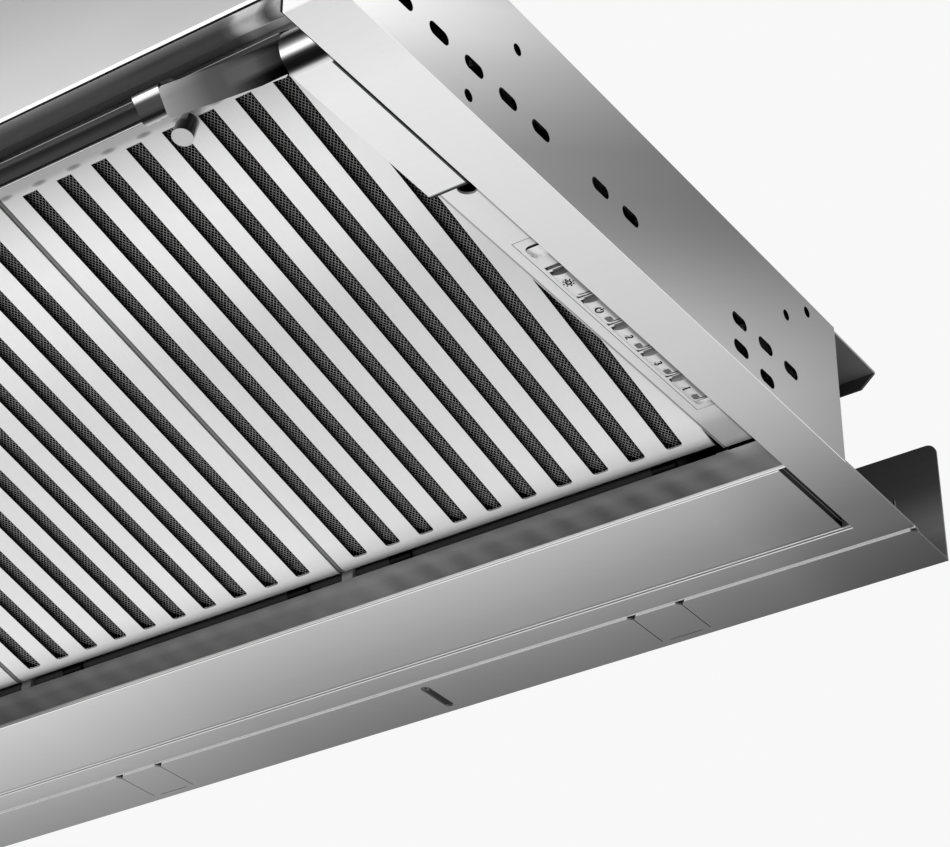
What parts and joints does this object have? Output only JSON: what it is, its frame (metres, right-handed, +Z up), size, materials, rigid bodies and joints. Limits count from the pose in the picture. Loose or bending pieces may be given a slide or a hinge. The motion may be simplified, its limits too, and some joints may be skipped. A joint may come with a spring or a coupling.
{
  "type": "range hood insert",
  "caption": "Built-in range hood insert with slotted swing-down grease filters, push-button strip, pull-out front visor with light bar, sliding wall strip, fan with scroll and duct collar.",
  "frame": {"origin": "centre of the footprint on the underside of the wall strip, 1.05 mm below the underside of the rim", "axes": "+X to the right seen from the cooking side, +Y towards the wall, +Z up"},
  "size_m": [0.898, 0.451, 0.3343],
  "materials": {
    "brushed_steel": "fine brushed satin",
    "tray_steel": "satin",
    "black_mesh": "dark fine mesh",
    "polished_steel": "polished",
    "zinc_sheet": "plain zinc coated sheet",
    "dark_panel": "gloss dark",
    "white_plastic": "matte pale",
    "lens_plastic": "frosted",
    "board_green": "matte",
    "grey_plastic": "matte",
    "black_plastic": "matte",
    "motor_iron": "matte",
    "aluminium_can": "smooth"
  },
  "bodies": {
    "hood": {"side_panel_right": "brushed_steel", "side_panel_left": "brushed_steel", "bottom_frame": "brushed_steel", "rear_wall": "brushed_steel", "rear_cover_panel": "brushed_steel", "control_strip": "brushed_steel", "blank_strip": "brushed_steel", "damper_shaft": "polished_steel", "filter_rod": "polished_steel", "top_cover": "zinc_sheet", "fan_housing": "zinc_sheet", "filter_ledge": "zinc_sheet", "runner_channels": "zinc_sheet", "panel_screws": "zinc_sheet", "strip_screws": "zinc_sheet", "rear_hanging_rail": "dark_panel", "keypad_bezel": "white_plastic", "led_driver": "white_plastic", "switch_board": "board_green", "control_box": "grey_plastic", "duct_collar": "grey_plastic", "fan_scroll": "grey_plastic", "terminal_box": "grey_plastic", "cable_gland": "black_plastic", "fan_motor": "motor_iron", "filter_magnets": "motor_iron", "capacitor": "aluminium_can"},
    "visor": {"visor_fascia": "brushed_steel", "visor_slope": "dark_panel", "visor_sheet": "zinc_sheet", "visor_arm_right": "brushed_steel", "visor_arm_left": "brushed_steel", "visor_rails": "zinc_sheet", "light_bar": "dark_panel", "light_lens": "lens_plastic", "light_board": "board_green", "bar_collars": "polished_steel", "bar_blades": "brushed_steel"},
    "wheel": {"impeller": "grey_plastic", "motor_shaft": "polished_steel"},
    "strip": {"wall_strip": "brushed_steel"},
    "flap_front": {"damper_front": "grey_plastic"},
    "flap_rear": {"damper_rear": "grey_plastic"},
    "filter_1": {"filter_1_tray": "tray_steel", "filter_1_mesh": "black_mesh", "filter_1_knob": "polished_steel"},
    "filter_2": {"filter_2_tray": "tray_steel", "filter_2_mesh": "black_mesh", "filter_2_knob": "polished_steel"},
    "filter_3": {"filter_3_tray": "tray_steel", "filter_3_mesh": "black_mesh", "filter_3_knob": "polished_steel"},
    "filter_4": {"filter_4_tray": "tray_steel", "filter_4_mesh": "black_mesh", "filter_4_knob": "polished_steel"},
    "key_light": {"button_light": "white_plastic"},
    "key_power": {"button_power": "white_plastic"},
    "key_two": {"button_two": "white_plastic"},
    "key_three": {"button_three": "white_plastic"},
    "key_boost": {"button_boost": "white_plastic"}
  },
  "joints": [
    {"name": "visor_slide", "type": "slide", "parent": "hood", "child": "visor", "axis": [0, -1, 0], "range_m": [0, 0.1]},
    {"name": "filter_1_swing", "type": "hinge", "parent": "hood", "child": "filter_1", "pos_m": [-0.29812, 0.1201, 0.02225], "axis": [1, 0, 0], "range_deg": [0, 25]},
    {"name": "filter_2_swing", "type": "hinge", "parent": "hood", "child": "filter_2", "pos_m": [-0.09938, 0.1201, 0.02225], "axis": [1, 0, 0], "range_deg": [0, 25]},
    {"name": "filter_3_swing", "type": "hinge", "parent": "hood", "child": "filter_3", "pos_m": [0.09938, 0.1201, 0.02225], "axis": [1, 0, 0], "range_deg": [0, 25]},
    {"name": "filter_4_swing", "type": "hinge", "parent": "hood", "child": "filter_4", "pos_m": [0.29812, 0.1201, 0.02225], "axis": [1, 0, 0], "range_deg": [0, 25]},
    {"name": "key_light_press", "type": "slide", "parent": "hood", "child": "key_light", "axis": [0, 0, 1], "range_m": [0, 0.0012], "stiffness_N_per_m": 600, "springref_m": -0.0005},
    {"name": "key_power_press", "type": "slide", "parent": "hood", "child": "key_power", "axis": [0, 0, 1], "range_m": [0, 0.0012], "stiffness_N_per_m": 600, "springref_m": -0.0005},
    {"name": "key_two_press", "type": "slide", "parent": "hood", "child": "key_two", "axis": [0, 0, 1], "range_m": [0, 0.0012], "stiffness_N_per_m": 600, "springref_m": -0.0005},
    {"name": "key_three_press", "type": "slide", "parent": "hood", "child": "key_three", "axis": [0, 0, 1], "range_m": [0, 0.0012], "stiffness_N_per_m": 600, "springref_m": -0.0005},
    {"name": "key_boost_press", "type": "slide", "parent": "hood", "child": "key_boost", "axis": [0, 0, 1], "range_m": [0, 0.0012], "stiffness_N_per_m": 600, "springref_m": -0.0005},
    {"name": "wheel_spin", "type": "hinge", "parent": "hood", "child": "wheel", "pos_m": [0, 0.0075, 0.19003], "axis": [1, 0, 0], "continuous": true},
    {"name": "flap_front_swing", "type": "hinge", "parent": "hood", "child": "flap_front", "pos_m": [0, 0.0125, 0.31425], "axis": [-1, 0, 0], "range_deg": [0, 75]},
    {"name": "flap_rear_swing", "type": "hinge", "parent": "hood", "child": "flap_rear", "pos_m": [0, 0.0125, 0.31425], "axis": [1, 0, 0], "range_deg": [0, 75]},
    {"name": "strip_slide", "type": "slide", "parent": "hood", "child": "strip", "axis": [0, -1, 0], "range_m": [0, 0.014]}
  ]
}
